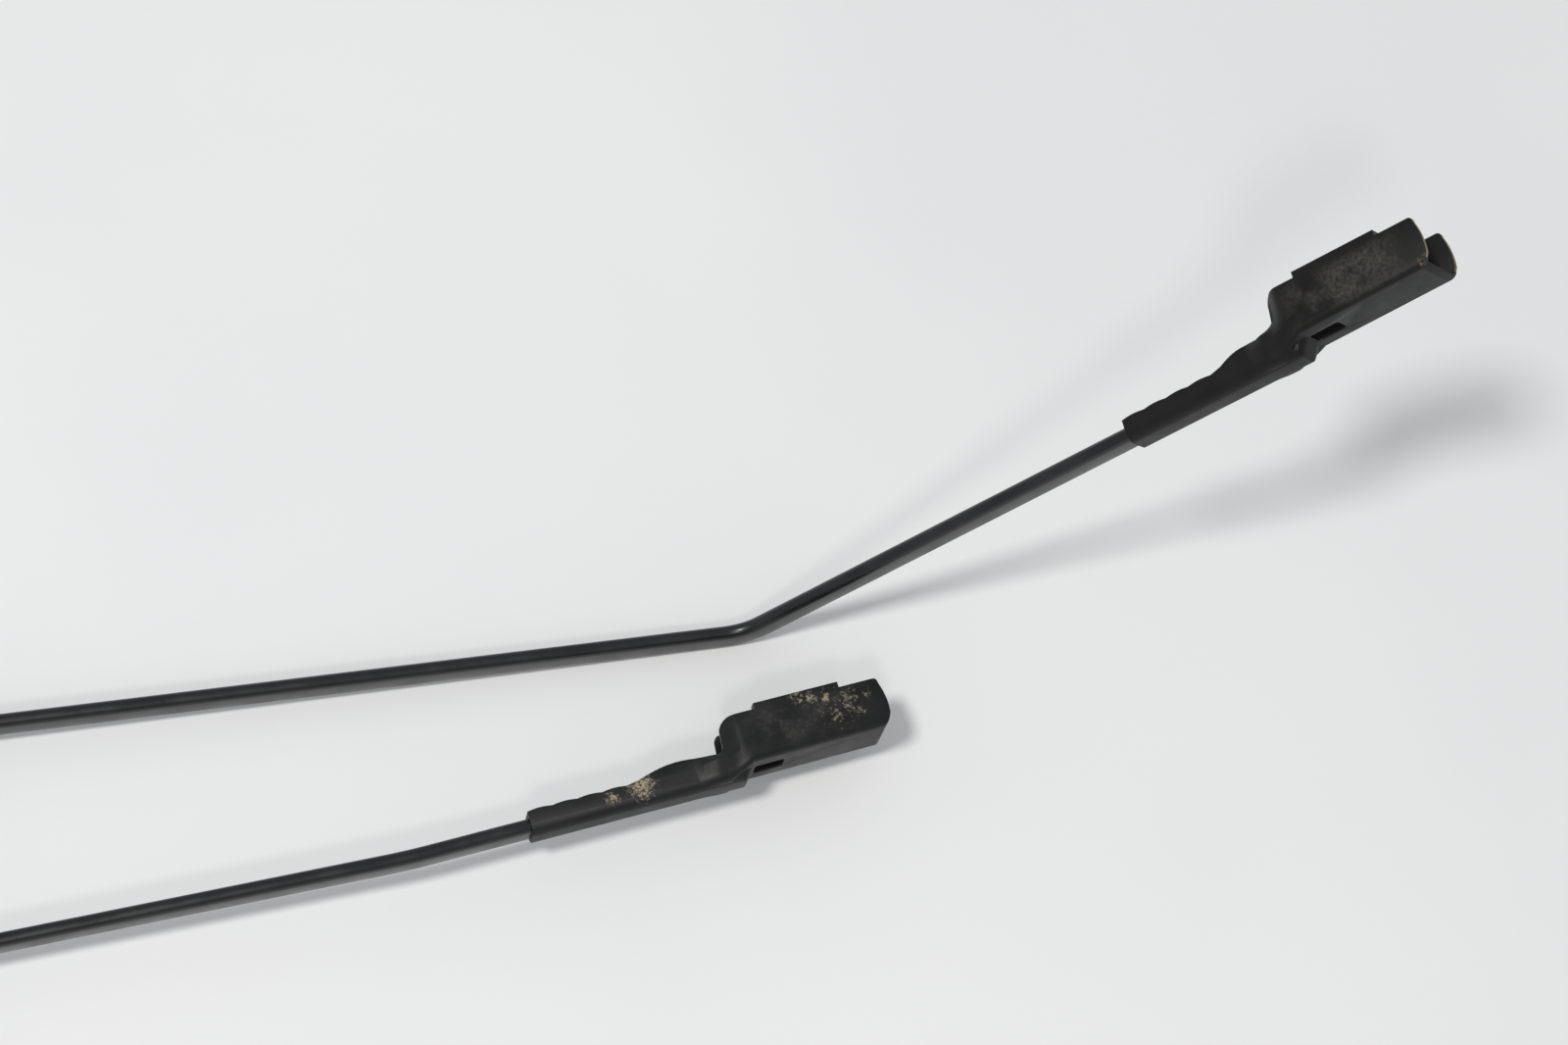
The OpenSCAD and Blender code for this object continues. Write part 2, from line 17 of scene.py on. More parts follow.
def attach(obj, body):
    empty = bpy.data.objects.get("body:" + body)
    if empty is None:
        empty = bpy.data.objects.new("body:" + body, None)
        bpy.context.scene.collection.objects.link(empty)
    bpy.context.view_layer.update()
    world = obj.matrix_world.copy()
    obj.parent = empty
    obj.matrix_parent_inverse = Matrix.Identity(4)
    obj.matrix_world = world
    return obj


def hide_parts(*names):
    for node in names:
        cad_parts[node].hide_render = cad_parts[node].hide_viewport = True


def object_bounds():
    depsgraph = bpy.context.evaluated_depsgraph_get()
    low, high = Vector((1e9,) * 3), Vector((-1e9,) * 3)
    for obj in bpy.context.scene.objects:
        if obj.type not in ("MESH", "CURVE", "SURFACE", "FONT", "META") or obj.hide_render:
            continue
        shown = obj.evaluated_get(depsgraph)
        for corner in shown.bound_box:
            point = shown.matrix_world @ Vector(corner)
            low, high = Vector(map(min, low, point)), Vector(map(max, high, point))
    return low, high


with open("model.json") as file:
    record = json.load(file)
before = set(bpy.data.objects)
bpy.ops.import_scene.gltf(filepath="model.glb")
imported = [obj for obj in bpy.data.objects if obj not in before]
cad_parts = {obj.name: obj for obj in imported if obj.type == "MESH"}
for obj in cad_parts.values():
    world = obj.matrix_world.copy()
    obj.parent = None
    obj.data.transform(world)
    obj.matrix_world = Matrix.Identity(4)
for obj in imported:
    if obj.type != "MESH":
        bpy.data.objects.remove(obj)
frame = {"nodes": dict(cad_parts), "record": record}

cad_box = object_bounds()
record = frame["record"]
ARMS = ("long", "short")
print("part box in metres:", [[round(v, 4) for v in corner] for corner in cad_box])

# %% [markdown]
# ## The arms' own frames
# Each arm is drawn with its spindle at x = 0, its length along x, the glass side towards y
# and its width along z. The spindle's mount and the hinge's axis say where that frame lies
# in the part, so nothing has to be fitted by eye. The outer length starts at the bar's bend,
# and there the frame turns and rises with it.

# %% Sizes of the two arms, in millimetres and degrees
# inner and outer: lengths before and after the bend; rise and turn: where the outer length
# goes; bend_r: the bend's radius; neck: the holder's narrow part; step: the web above the bar
SIZES = {
    "long": dict(inner=420, outer=236.5, rise=45.6, turn=5.1, bend_r=16, neck=22, step=1.6),
    "short": dict(inner=370, outer=142.5, rise=-0.8, turn=3.6, bend_r=200, neck=30, step=0.3),
}
# The bar's width and thickness, and where it starts inside the retainer
ROD_W, ROD_T, ROD_START = 9.0, 4.2, 156.0
# The blade holder's channel, its sheet, and the sleeve that is crimped round the bar
HOLDER_L, HOLDER_W, HOLDER_H, SHEET = 48.5, 19.0, 14.3, 1.3
SLEEVE_L, SLEEVE_WALL = 29.0, 1.2
# The hinge, the link's cross pin (an arm's length and an angle from the hinge) and the link
HINGE_X, LINK_ARM, LINK_ANGLE, LINK_L = 42.0, 8.5, 105.0, 19.0
# The pin that the spring hooks on, and the rivets through bar and retainer
ANCHOR_X, ANCHOR_Y, ANCHOR_R = 118.0, 1.5, 2.2
RIVETS_X = (172, 184)
# Holes, each a hair wider than what goes through it, and the bore for the motor's spindle
RIVET_HOLE_R, PIN_HOLE_R, ANCHOR_HOLE_R = 1.74, 3.02, 2.22
BUSH_HOLE_R, LINK_HOLE_R = 4.27, 2.02
SPINDLE_BORE_R = 4.1
print("lengths in mm:", {arm: s["inner"] + s["outer"] for arm, s in SIZES.items()})

# %% Lay out the arms' frames
mounts = {m["name"]: m for m in record["mounts"]}
joints = {j["name"]: j for j in record["behaviour"]["joints"]}


def arm_frame(arm):
    """From millimetres along the arm to metres in the part."""
    spindle = mounts[arm + "_spindle"]
    across = Vector(joints[arm + "_head_hinge"]["axis"]).normalized()
    glass = Vector(spindle["axis"]).normalized()
    m = Matrix((glass.cross(across), glass, across)).transposed().to_4x4()
    m.translation = Vector(spindle["pos_m"])
    return m @ Matrix.Scale(0.001, 4)


def turned(degrees, axis):
    return Matrix.Rotation(math.radians(degrees), 4, axis)


def bend_of(arm):
    """The bend's angle and the turn of its plane about the bar."""
    turn, rise = (math.radians(SIZES[arm][k]) for k in ("turn", "rise"))
    angle = math.acos(math.cos(turn) * math.cos(rise))
    plane = math.atan2(math.sin(rise), math.sin(turn) * math.cos(rise))
    return math.degrees(angle), math.degrees(plane)


def outer_frame(arm, x):
    """From the outer length's millimetres, counted from x, to the arm's."""
    angle, plane = bend_of(arm)
    bend = turned(plane, "X") @ turned(angle, "Z") @ turned(-plane, "X")
    return Matrix.Translation((SIZES[arm]["inner"], 0, 0)) @ bend @ Matrix.Translation((x, 0, 0))


ARM = {arm: arm_frame(arm) for arm in ARMS}
TIP = {arm: ARM[arm] @ outer_frame(arm, SIZES[arm]["outer"]) for arm in ARMS}
for arm in ARMS:
    tip = [round(v, 4) for v in TIP[arm].translation]
    print(arm, "bend", [round(v, 2) for v in bend_of(arm)], "tip", tip)

# %% [markdown]
# ## Finishes
# Real arms are pressed steel with a black dip coat. It isn't flat black: it has a fine
# orange peel, it is rubbed paler along folds, and dust sits in it. Each finish is therefore
# a noise for the tone, a noise for the gloss and a fine bump. Places on a piece are read in
# the arm's own millimetres, so dirt can sit where it sits on a real arm.

# %% A helper for shader nodes
MM_PER_M = 1000


class Finish:
    """A material that is put together step by step."""

    def __init__(self, name):
        self.material = bpy.data.materials.new(name)
        self.material.use_nodes = True
        self.nodes = self.material.node_tree.nodes
        self.links = self.material.node_tree.links
        self.shader = self.nodes["Principled BSDF"]

    def add(self, kind, inputs=(), **settings):
        node = self.nodes.new(kind)
        for key, value in settings.items():
            setattr(node, key, value)
        for key, value in dict(inputs).items():
            if isinstance(value, bpy.types.NodeSocket):
                self.links.new(value, node.inputs[key])
            else:
                node.inputs[key].default_value = value
        return node

    def place(self, frame_mm=None):
        """Where the surface is, in metres of the part or in millimetres of a frame."""
        spot = self.add("ShaderNodeTexCoord").outputs["Object"]
        if frame_mm is None:
            return spot
        back = frame_mm.inverted()
        node = self.add("ShaderNodeMapping", {"Vector": spot})
        node.inputs["Location"].default_value = back.translation
        node.inputs["Rotation"].default_value = back.to_quaternion().to_euler()
        node.inputs["Scale"].default_value = (MM_PER_M,) * 3
        return node.outputs["Vector"]

    def noise(self, spot, scale, detail=4, rough=0.55):
        return self.add("ShaderNodeTexNoise", {
            "Vector": spot, "Scale": scale, "Detail": detail, "Roughness": rough}).outputs["Fac"]

    def ramp(self, value, low, high, to_low=0.0, to_high=1.0):
        return self.add("ShaderNodeMapRange", {
            "Value": value, "From Min": low, "From Max": high,
            "To Min": to_low, "To Max": to_high}, interpolation_type="SMOOTHSTEP").outputs["Result"]

    def mix(self, factor, a, b):
        node = self.add("ShaderNodeMix", data_type="RGBA")
        for socket, value in ((node.inputs[0], factor), (node.inputs[6], a), (node.inputs[7], b)):
            if isinstance(value, bpy.types.NodeSocket):
                self.links.new(value, socket)
            else:
                socket.default_value = value if isinstance(value, float) else (*value[:3], 1)
        return node.outputs[2]

    def maths(self, how, a, b):
        node = self.add("ShaderNodeMath", operation=how)
        for socket, value in zip(node.inputs, (a, b)):
            if isinstance(value, bpy.types.NodeSocket):
                self.links.new(value, socket)
            else:
                socket.default_value = value
        return node.outputs[0]

    def bump(self, height, strength, distance):
        node = self.add("ShaderNodeBump", {"Height": height, "Strength": strength, "Distance": distance})
        self.links.new(node.outputs["Normal"], self.shader.inputs["Normal"])

    def finish(self, color, rough, metallic=0.0, shine=0.5):
        self.shader.inputs["Specular IOR Level"].default_value = shine
        for name, value in (("Base Color", color), ("Roughness", rough)):
            if isinstance(value, bpy.types.NodeSocket):
                self.links.new(value, self.shader.inputs[name])
            else:
                self.shader.inputs[name].default_value = value
        self.shader.inputs["Metallic"].default_value = metallic
        return self.material


# %% [markdown]
# ## Paints and metals
# Bars, retainers and heads wear the same black dip coat, but it lies smooth on the drawn bar
# and rough on the casting. One function with a gloss and an orange peel therefore makes all
# the black skins, and a second one makes the few bright metals. A picture of worn paint
# would be an easy other way, but it would stretch over bends and tell nothing about scale.

# %% Paints and metals


def coated(name, tone, gloss, peel=0.25, grain=0.0006, shine=0.28):
    """A black dip coat: uneven tone, uneven gloss and a fine orange peel."""
    f = Finish(name)
    spot = f.place()
    broad = f.noise(spot, 90)
    fine = f.noise(spot, 1 / grain, 3)
    color = f.mix(f.ramp(broad, 0.3, 0.7), [t * 0.8 for t in tone], [t * 1.35 for t in tone])
    f.bump(fine, peel, 0.00006)
    return f.finish(color, f.ramp(broad, 0.25, 0.75, gloss - 0.06, gloss + 0.1), 0.0, shine)


def metal(name, tone, gloss, grain=0.0008):
    """Plain bright metal with faint handling marks."""
    f = Finish(name)
    spot = f.place()
    broad = f.noise(spot, 160)
    color = f.mix(f.ramp(broad, 0.35, 0.75), tone, [t * 0.6 for t in tone])
    f.bump(f.noise(spot, 1 / grain, 3), 0.15, 0.00004)
    return f.finish(color, f.ramp(broad, 0.3, 0.7, gloss, gloss + 0.2), 1.0)


ROD_PAINT = coated("black bar paint", (0.006, 0.0062, 0.0068), 0.28, 0.15, shine=0.55)
RETAINER_PAINT = coated("black retainer paint", (0.006, 0.006, 0.0064), 0.38)
HEAD_PAINT = coated("black cast paint", (0.0065, 0.0065, 0.007), 0.46, 0.5, 0.0011)
CAP_PLASTIC = coated("black cap plastic", (0.006, 0.006, 0.006), 0.5, 0.4, 0.0009)
WASHER_PLASTIC = coated("ivory washer plastic", (0.6, 0.56, 0.47), 0.45, 0.1)
STEEL = metal("plain pin steel", (0.5, 0.5, 0.49), 0.3)
SPRING_STEEL = metal("oiled spring steel", (0.3, 0.29, 0.28), 0.28)
BRASS = metal("bush brass", (0.62, 0.44, 0.2), 0.32)
print("made", len(bpy.data.materials), "finishes")

# %% [markdown]
# ## Worn paint on the blade holders
# The holders are the dirtiest pieces, because road dirt and dead insects collect there.
# Dust could be painted on by hand, but here it is a field of nodes: a soft patch round a
# chosen spot on the holder, broken up by a noise. A spot can be moved by changing a number.

# %% Where haze and crust lie


def haze_field(f, local):
    """Haze settles on the outer face of the wall at +z, in the middle of the channel."""
    parts = f.add("ShaderNodeSeparateXYZ", {"Vector": local}).outputs
    outside = f.ramp(parts["Z"], HOLDER_W / 2 - 1.2, HOLDER_W / 2 - 0.2)
    length = f.maths("MULTIPLY", f.ramp(parts["X"], -46, -34), f.ramp(parts["X"], -4, -12))
    height = f.maths("MULTIPLY", f.ramp(parts["Y"], 1, 5), f.ramp(parts["Y"], 16, 12))
    return f.maths("MULTIPLY", f.maths("MULTIPLY", length, height), outside)


def crust_field(f, local, spots):
    """The strongest of the soft patches round all the spots."""
    total = None
    for x, y, z, reach, amount in spots:
        away = f.add("ShaderNodeVectorMath", operation="DISTANCE")
        f.links.new(local, away.inputs[0])
        away.inputs[1].default_value = (x, y, z)
        near = f.maths("MULTIPLY", f.ramp(away.outputs["Value"], reach * 1.5, 0), amount)
        total = near if total is None else f.maths("MAXIMUM", total, near)
    return total


# Spots of crust in millimetres from the tip: x, y, z, reach and amount
OUT = HOLDER_W / 2
CRUST_SPOTS = {
    "long": [(-2, 3, OUT, 2.5, 0.5)],
    "short": [
        (-74.4, 2, 5.7, 4.4, 0.9), (-83.6, 0.8, 5.7, 2.4, 0.75), (-25, 15, OUT, 3, 0.55),
        (-21.5, 13.5, OUT, 2.6, 0.6), (-17, 12.3, OUT, 2.2, 0.6), (-11, 10.5, OUT, 3.4, 0.6),
        (-15.5, 6.5, OUT, 2.4, 0.55), (-9, 6, OUT, 2.2, 0.5), (-5, 11, OUT, 2, 0.4),
        (-30, 7, OUT, 9, 0.1), (-14, 10, OUT, 10, 0.24)],
}
print("crust spots:", {arm: len(spots) for arm, spots in CRUST_SPOTS.items()})

# %% Worn holder paint


def worn_holder(arm, tone, haze, haze_tone, crust_tone):
    """Black holder paint with haze on the broad wall and crust at the arm's spots."""
    f = Finish(arm + " holder paint")
    spot = f.place()
    local = f.place(TIP[arm])
    broad = f.noise(spot, 120)
    fine = f.noise(spot, 900, 8, 0.7)
    speck = f.noise(spot, 900, 8, 0.8)
    color = f.mix(f.ramp(broad, 0.3, 0.7), [t * 0.85 for t in tone], [t * 1.3 for t in tone])
    cloud = f.maths("MULTIPLY", f.ramp(fine, 0.3, 0.72), f.ramp(broad, 0.35, 0.6))
    dust = f.maths("MULTIPLY", haze_field(f, local), f.maths("MULTIPLY", cloud, haze))
    color = f.mix(dust, color, haze_tone)
    patch = crust_field(f, local, CRUST_SPOTS[arm])
    broken = f.maths("MULTIPLY", f.maths("SUBTRACT", speck, 0.5), 4.5)
    ragged = f.ramp(f.maths("ADD", patch, broken), 0.35, 0.95)
    crust = f.maths("MULTIPLY", ragged, f.ramp(patch, 0.02, 0.3))
    color = f.mix(crust, color, crust_tone)
    raised = f.maths("MULTIPLY", crust, 2.0)
    f.bump(f.maths("ADD", f.noise(spot, 1400, 3), raised), 0.35, 0.00008)
    dull = f.maths("MULTIPLY", f.maths("ADD", dust, crust), 0.4)
    rough = f.maths("ADD", f.ramp(broad, 0.25, 0.75, 0.4, 0.52), dull)
    return f.finish(color, rough, 0.0, 0.25)


HOLDER_PAINT = {
    "long": worn_holder(
        "long", (0.0052, 0.0051, 0.0048), 0.75, (0.075, 0.07, 0.058), (0.22, 0.17, 0.1)),
    "short": worn_holder(
        "short", (0.0105, 0.0107, 0.0113), 0.5, (0.06, 0.058, 0.054), (0.33, 0.28, 0.2)),
}
print("holder paints:", [m.name for m in HOLDER_PAINT.values()])

# %% Bare steel of a cut edge


def bare_edge():
    """Yellowish, half rusted steel where the press cut through after the coat."""
    f = Finish("bare cut edge")
    rust = f.ramp(f.noise(f.place(), 500), 0.35, 0.7)
    return f.finish(f.mix(rust, (0.16, 0.11, 0.045), (0.33, 0.25, 0.12)), 0.5, 0.3)


EDGE_METAL = bare_edge()
print("made", EDGE_METAL.name)

# %% [markdown]
# ## Drawing and cutting
# Nearly everything here is pressed, cast or drawn. It could be modelled by pushing points
# about, but a few helpers keep true sizes: a loft joins rings of points, a prism pulls an
# outline across the arm, and a cut takes one solid out of another, as a press tool does. A
# last pass rounds the sharp edges a little, because a real edge always catches the light.

# %% Drawing helpers


def solid(name, points, faces):
    mesh = bpy.data.meshes.new(name)
    mesh.from_pydata([tuple(p) for p in points], [], faces)
    obj = bpy.data.objects.new(name, mesh)
    bpy.context.scene.collection.objects.link(obj)
    return obj


def loft(name, rings):
    """Closed rings of equal length, joined in order, with both ends closed."""
    n = len(rings[0])
    points = [p for ring in rings for p in ring]
    faces = [
        (i * n + k, i * n + (k + 1) % n, (i + 1) * n + (k + 1) % n, (i + 1) * n + k)
        for i in range(len(rings) - 1) for k in range(n)
    ]
    last = (len(rings) - 1) * n
    faces += [tuple(range(n - 1, -1, -1)), tuple(range(last, last + n))]
    return facing_out(solid(name, points, faces))


def facing_out(obj):
    """Turns every face outward."""
    bm = bmesh.new()
    bm.from_mesh(obj.data)
    bmesh.ops.recalc_face_normals(bm, faces=bm.faces)
    bm.to_mesh(obj.data)
    bm.free()
    return obj


def prism(name, outline, low, high):
    """An outline in x and y, pulled across the arm."""
    return loft(name, [[(x, y, z) for x, y in outline] for z in (low, high)])


def box(name, low, high):
    outline = [(low[0], low[1]), (high[0], low[1]), (high[0], high[1]), (low[0], high[1])]
    return prism(name, outline, low[2], high[2])


def disc(name, centre, radii, levels, axis="Z", sides=64):
    """A turned solid: one radius at each level along its axis."""
    rings = []
    turn = [2 * math.pi * k / sides for k in range(sides)]
    for r, level in zip(radii, levels):
        ring = [(r * math.cos(a), r * math.sin(a)) for a in turn]
        if axis == "Z":
            rings.append([(centre[0] + u, centre[1] + v, level) for u, v in ring])
        else:
            rings.append([(centre[0] + u, level, centre[1] + v) for u, v in ring])
    return loft(name, rings)


def arc(cx, cy, r, start, end, steps=8):
    """Points on a circle, from one angle to another, in degrees."""
    turn = [math.radians(start + (end - start) * i / steps) for i in range(steps + 1)]
    return [(cx + r * math.cos(a), cy + r * math.sin(a)) for a in turn]


print("a quarter circle in", len(arc(0, 0, 1, 0, 90)), "points")

# %% Cutting and finishing helpers
SAME_POINT, FLAT_ANGLE, SHARP_ANGLE = 0.02, 1, 32


def settle(obj):
    """Makes an object's modifiers part of its mesh."""
    shown = obj.evaluated_get(bpy.context.evaluated_depsgraph_get())
    mesh = bpy.data.meshes.new_from_object(shown)
    obj.modifiers.clear()
    obj.data = mesh
    return obj


def cut(obj, tool, how="DIFFERENCE"):
    step = obj.modifiers.new(how.lower(), "BOOLEAN")
    step.operation, step.solver, step.object = how, "EXACT", tool
    settle(obj)
    bpy.data.objects.remove(tool)
    return obj


def rounded(obj, width, segments=2, angle=35):
    """Cleans up after the cuts and rounds what is sharper than angle."""
    bm = bmesh.new()
    bm.from_mesh(obj.data)
    bmesh.ops.remove_doubles(bm, verts=bm.verts, dist=SAME_POINT)
    flat = math.radians(FLAT_ANGLE)
    bmesh.ops.dissolve_limit(bm, angle_limit=flat, verts=bm.verts, edges=bm.edges)
    bm.to_mesh(obj.data)
    bm.free()
    step = obj.modifiers.new("rounding", "BEVEL")
    step.width, step.segments, step.limit_method = width, segments, "ANGLE"
    step.angle_limit = math.radians(angle)
    return settle(obj)


def lay(obj, place, material, body, node):
    """Puts a finished piece in its place in the part."""
    obj.data.transform(place)
    obj.data.materials.clear()
    obj.data.materials.append(material)
    obj.data.shade_smooth()
    obj.data.set_sharp_from_angle(angle=math.radians(SHARP_ANGLE))
    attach(obj, body)
    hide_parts(node)
    print(f"{obj.name}: {len(obj.data.polygons)} faces")


print("edges sharper than", SHARP_ANGLE, "degrees stay crisp")

# %% [markdown]
# ## The bars
# A flat steel bar with round edges, bent over a former. A curve with a bevel could draw it.
# Here one section is carried by matrices instead, straight, round the bend and straight
# again, because the same matrices also say where the blade holder sits.

# %% Sweep the bars


def bar_ring(grow=0.0, steps=10):
    """The bar's section as (y, z) points, round at both edges."""
    r, c = ROD_T / 2 + grow, (ROD_W - ROD_T) / 2
    turn = [math.pi * i / steps for i in range(steps + 1)]
    ring = [(r * math.cos(a), c + r * math.sin(a)) for a in turn]
    return ring + [(-y, -z) for y, z in ring]


def bar_rings(arm):
    s = SIZES[arm]
    angle, plane = bend_of(arm)
    reach = s["bend_r"] * math.tan(math.radians(angle / 2))
    bend_x = s["inner"] - reach
    end = s["outer"] - HOLDER_L - s["neck"] - 3
    places = [Matrix.Translation((x, 0, 0)) for x in (ROD_START, ROD_START + 80, bend_x)]
    steps = max(8, round(angle))
    out = Matrix.Translation((0, s["bend_r"], 0))
    centre = Matrix.Translation((bend_x, 0, 0)) @ turned(plane, "X") @ out
    for i in range(1, steps):
        swing = turned(angle * i / steps, "Z") @ out.inverted() @ turned(-plane, "X")
        places.append(centre @ swing)
    places += [outer_frame(arm, x) for x in (reach, (reach + end) / 2, end)]
    return [[p @ Vector((0, y, z)) for y, z in bar_ring()] for p in places]


for arm in ARMS:
    bar = loft(arm + "_bar", bar_rings(arm))
    for x in RIVETS_X:
        cut(bar, disc("hole", (x, 0), (RIVET_HOLE_R,) * 2, (-9, 9), "Y", 24))
    lay(bar, ARM[arm], ROD_PAINT, arm + "_arm", arm + "_rod")

# %% [markdown]
# ## The blade holders
# On the real arm this is one blank of sheet, folded up on both sides, with a window for the
# blade's button, two lips folded in over the channel, and tabs crimped round the bar. Here
# the outside and the inside are two lofts with the same round fold, one a sheet's thickness
# inside the other. The side outline, the window and the gap between the lips are then cut.

# %% Shapes of the folded blank
LEAST_FOLD = 0.35


def ease(t):
    t = min(max(t, 0.0), 1.0)
    return t * t * (3 - 2 * t)


def along(points, x):
    """Straight-line reading of a curve that is given by its points."""
    for (x0, y0), (x1, y1) in zip(points, points[1:]):
        if x <= x1:
            return y0 + (y1 - y0) * min(max((x - x0) / (x1 - x0), 0), 1)
    return points[-1][1]


def folded(name, stations, web, half, fold, inset, top, corner=8):
    """A channel's outside, or with an inset its inside: web below, walls up to top."""
    rings = []
    for x in stations:
        y0, r = web(x) + inset, max(fold(x) - inset, LEAST_FOLD)
        wall = [y0 + r + (top - y0 - r) * t for t in (1, 0.6, 0.4, 0.28, 0.18, 0.1)]
        side = [(y, half(x, y) - inset) for y in wall]
        edge = half(x, y0 + r) - inset
        side += [
            (y0 + r - r * math.sin(math.radians(a)), edge - r + r * math.cos(math.radians(a)))
            for a in (90 * i / corner for i in range(corner + 1))
        ]
        rings.append([(x, y, z) for y, z in side] + [(x, y, -z) for y, z in reversed(side)])
    return loft(name, rings)


print("half way through an ease:", ease(0.5))

# %% The holder's side outline
# The two lips over the channel: where they start and end behind the tip, and their height
LIP_START, LIP_END, LIP = 12.3, 37.6, 1.7
# The tip's soft bulge, the rear shoulder, and the hollow below the shoulder
TIP_R, SHOULDER_R, HOLLOW_R = 20, 3.3, 3.2
# The dents that the crimping tool leaves along the sleeve
CRIMPS, CRIMP_DENT = 4, 0.35


def holder_outline(neck, step, low):
    """Side view: tip at x = 0, the free edges towards +y."""
    top = step + HOLDER_H
    sleeve_end = HOLDER_L + neck
    outline = [(-3.9, low)] + arc(-3.9, step + 3.2, 3.2, -90, -20, 6)
    outline += arc(-TIP_R, step + 6.5, TIP_R, -9, 17, 8) + arc(-2.2, top - 1.2, 1.2, 20, 90, 5)
    outline += [(-LIP_START, top), (-LIP_START, top + LIP), (-LIP_END, top + LIP), (-LIP_END, top)]
    outline += arc(-HOLDER_L + SHOULDER_R, top - SHOULDER_R, SHOULDER_R, 95, 180)
    outline += arc(-HOLDER_L - 3.6, step + 7.8, HOLLOW_R, 0, -80)
    # The neck's crest is a half wave on a falling line
    for i in range(1, 11):
        t = i / 11
        crest = 3.4 + 1.6 * (1 - t) + 2.1 * math.sin(math.pi * t)
        outline.append((-HOLDER_L - 4 - t * (neck - 6), crest))
    for i in range(33):
        t = i / 32
        dent = CRIMP_DENT * abs(math.sin(math.pi * CRIMPS * t)) if t < 1 else 0
        outline.append((-sleeve_end - t * SLEEVE_L, ROD_T / 2 + SLEEVE_WALL + dent))
    return outline + [(-sleeve_end - SLEEVE_L, low)]


for arm, s in SIZES.items():
    print(arm, "outline:", len(holder_outline(s["neck"], s["step"], -12)), "points")

# %% [markdown]
# ## From the narrow neck to the wide channel
# The sleeve and the neck are as narrow as the bar, and the channel is twice as wide. On the
# real holder the sheet flares between them, first low down and only then at the shoulder.
# The neck and the channel are therefore two folded shapes that run into each other.

# %% The neck's and the channel's shapes
# The channel's fold is FOLD_DROP tighter at the tip than at the neck
NECK_HALF, NECK_FOLD, FOLD_START, FOLD_DROP = ROD_W / 2 + SLEEVE_WALL, 3.2, 3.1, 0.8
NECK_Y = -(ROD_T / 2 + SLEEVE_WALL)


def neck_shape(arm):
    """Web line, half width and fold of the neck, which ends under the channel's web."""
    line = [(-200, NECK_Y), (-HOLDER_L + 4, NECK_Y), (-HOLDER_L + 8, SIZES[arm]["step"] + 1)]
    return lambda x: along(line, x), lambda x, y: NECK_HALF, lambda x: NECK_FOLD


def channel_shape(arm):
    """Web line, half width and fold of the channel, which flares out of the neck."""
    narrow, wide = NECK_HALF - 0.3, HOLDER_W / 2
    step, below = SIZES[arm]["step"], NECK_Y + 0.25
    line = [(-HOLDER_L - 20, below), (-HOLDER_L - 1, below), (-HOLDER_L + 7.5, step), (20, step)]

    def half(x, y):
        # A slope from the neck's bottom up to the wall comes first
        slope = min(1, max(0, (y - below) / (step - below + 2.6)))
        low = ease((x + HOLDER_L + 12) / 9) * slope
        low = low + (1 - low) * ease((x + HOLDER_L - 1) / 7.5)
        high = ease((x + HOLDER_L + 1) / 6)
        return narrow + (wide - narrow) * (low + (high - low) * ease((y - step - 2) / 6))

    def fold(x):
        return FOLD_START - FOLD_DROP * ease((x + HOLDER_L + 2) / 6)

    return lambda x: along(line, x), half, fold


for arm in ARMS:
    print(arm, "half width at the tip:", round(channel_shape(arm)[1](0, HOLDER_H), 2), "mm")

# %% Build the holders
# The gap between the lips, and the middles of the window's corner arcs
MOUTH_HALF, WINDOW_FRONT, WINDOW_BACK, WINDOW_HALF, WINDOW_R = 5.8, -33.2, -40.1, 2.0, 1.0


def blade_holder(arm):
    s = SIZES[arm]
    top = s["step"] + HOLDER_H
    sleeve_end = HOLDER_L + s["neck"]
    back = sleeve_end + SLEEVE_L
    near = [-HOLDER_L - 12 + i * 0.75 for i in range(26)]
    neck, channel = neck_shape(arm), channel_shape(arm)
    under = [-HOLDER_L + 3.9, -HOLDER_L + 4.6, -HOLDER_L + 6, -HOLDER_L + 7.8]
    body = folded(arm + "_holder", [-back, -sleeve_end] + under, *neck, 0, 30)
    cut(body, folded("channel", near + [-20, 0.5], *channel, 0, 30.5), "UNION")
    cut(body, prism("outline", holder_outline(s["neck"], s["step"], -12), -20, 20), "INTERSECT")
    room = folded("room", near + [-20, 12], *channel, SHEET, 40)
    cut(room, folded("neck room", [-sleeve_end - 0.01] + under, *neck, SHEET, 40.5), "UNION")
    cut(room, box("lips", (-LIP_END, top + LIP - SHEET, -20), (-LIP_START, 60, 20)))
    cut(body, room)
    mouth = (-LIP_END - 1, s["step"] + 6, -MOUTH_HALF), (-LIP_START + 1, 40, MOUTH_HALF)
    cut(body, box("mouth", *mouth))
    window = arc(WINDOW_FRONT, WINDOW_HALF, WINDOW_R, 0, 90, 4)
    window += arc(WINDOW_BACK, WINDOW_HALF, WINDOW_R, 90, 180, 4)
    window += [(x, -z) for x, z in reversed(window)]
    levels = (s["step"] - 4, s["step"] + 3)
    cut(body, loft("window", [[(x, y, z) for x, z in window] for y in levels]))
    seat = (-back - 1, -sleeve_end + 0.5)
    cut(body, loft("seat", [[(x, y, z) for y, z in bar_ring(0.05)] for x in seat]))
    cut(body, box("seam", (-back - 1, 1, -0.25), (-sleeve_end + 1, 9, 0.25)))
    return rounded(body, 0.28)


for arm in ARMS:
    paint = HOLDER_PAINT[arm]
    lay(blade_holder(arm), TIP[arm], paint, arm + "_arm", arm + "_blade_holder")

# %% [markdown]
# ## Bare cut edges
# At the long arm's tip the coat has worn off the sheet's cut edges, and yellowish steel
# shows. A narrow strip of mesh could lie there, but the edge faces exist already: those
# that look forward near the tip simply get the bare steel.

